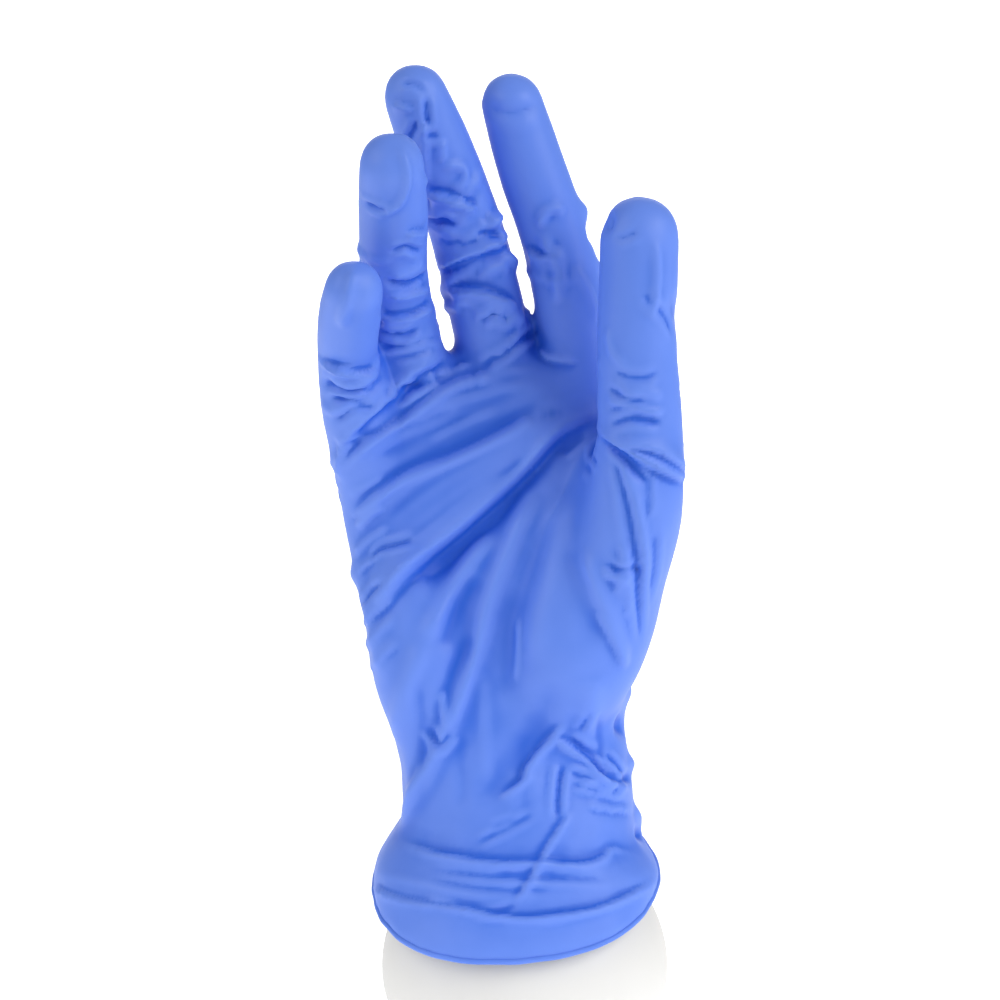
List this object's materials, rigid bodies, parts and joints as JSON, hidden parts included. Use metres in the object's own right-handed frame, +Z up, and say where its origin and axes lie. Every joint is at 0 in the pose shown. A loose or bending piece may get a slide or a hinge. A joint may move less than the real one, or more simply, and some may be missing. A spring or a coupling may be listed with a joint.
{
  "type": "gloved display hand",
  "caption": "Thin disposable glove with a beaded cuff on a rigid right-hand display form that turns on a weighted round foot.",
  "frame": {"origin": "middle of the foot pad's underside, on the axis that the hand turns about", "axes": "+Z up along the fingers, -Y out of the palm, +X towards the thumb"},
  "size_m": [0.0926, 0.0883, 0.254],
  "materials": {
    "glove_film": "thin satin nitrile film, periwinkle blue",
    "form_white": "smooth off-white, satin",
    "insert_brass": "turned",
    "zinc": "zinc plated",
    "bush_nylon": "natural nylon",
    "ballast_iron": "as cast",
    "plate_black": "fine grain",
    "pad_rubber": "matte"
  },
  "bodies": {
    "foot": {"foot_shell": "form_white", "ballast_weight": "ballast_iron", "bottom_plate": "plate_black", "plate_screw_1": "zinc", "plate_screw_2": "zinc", "plate_screw_3": "zinc", "foot_pad": "pad_rubber", "pivot_bush": "bush_nylon"},
    "hand": {"hand_form": "form_white", "wrist_insert": "insert_brass", "pivot_bolt": "zinc", "spring_washer": "zinc", "pivot_washer": "zinc"},
    "glove_body": {"glove": "glove_film"}
  },
  "joints": [
    {"name": "hand_turn", "type": "hinge", "parent": "foot", "child": "hand", "pos_m": [0, 0, 0.047], "axis": [0, 0, 1], "continuous": true},
    {"name": "glove_pull_off", "type": "slide", "parent": "hand", "child": "glove_body", "axis": [0, 0, 1], "range_m": [0, 0.24], "deforming": ["glove"]}
  ]
}
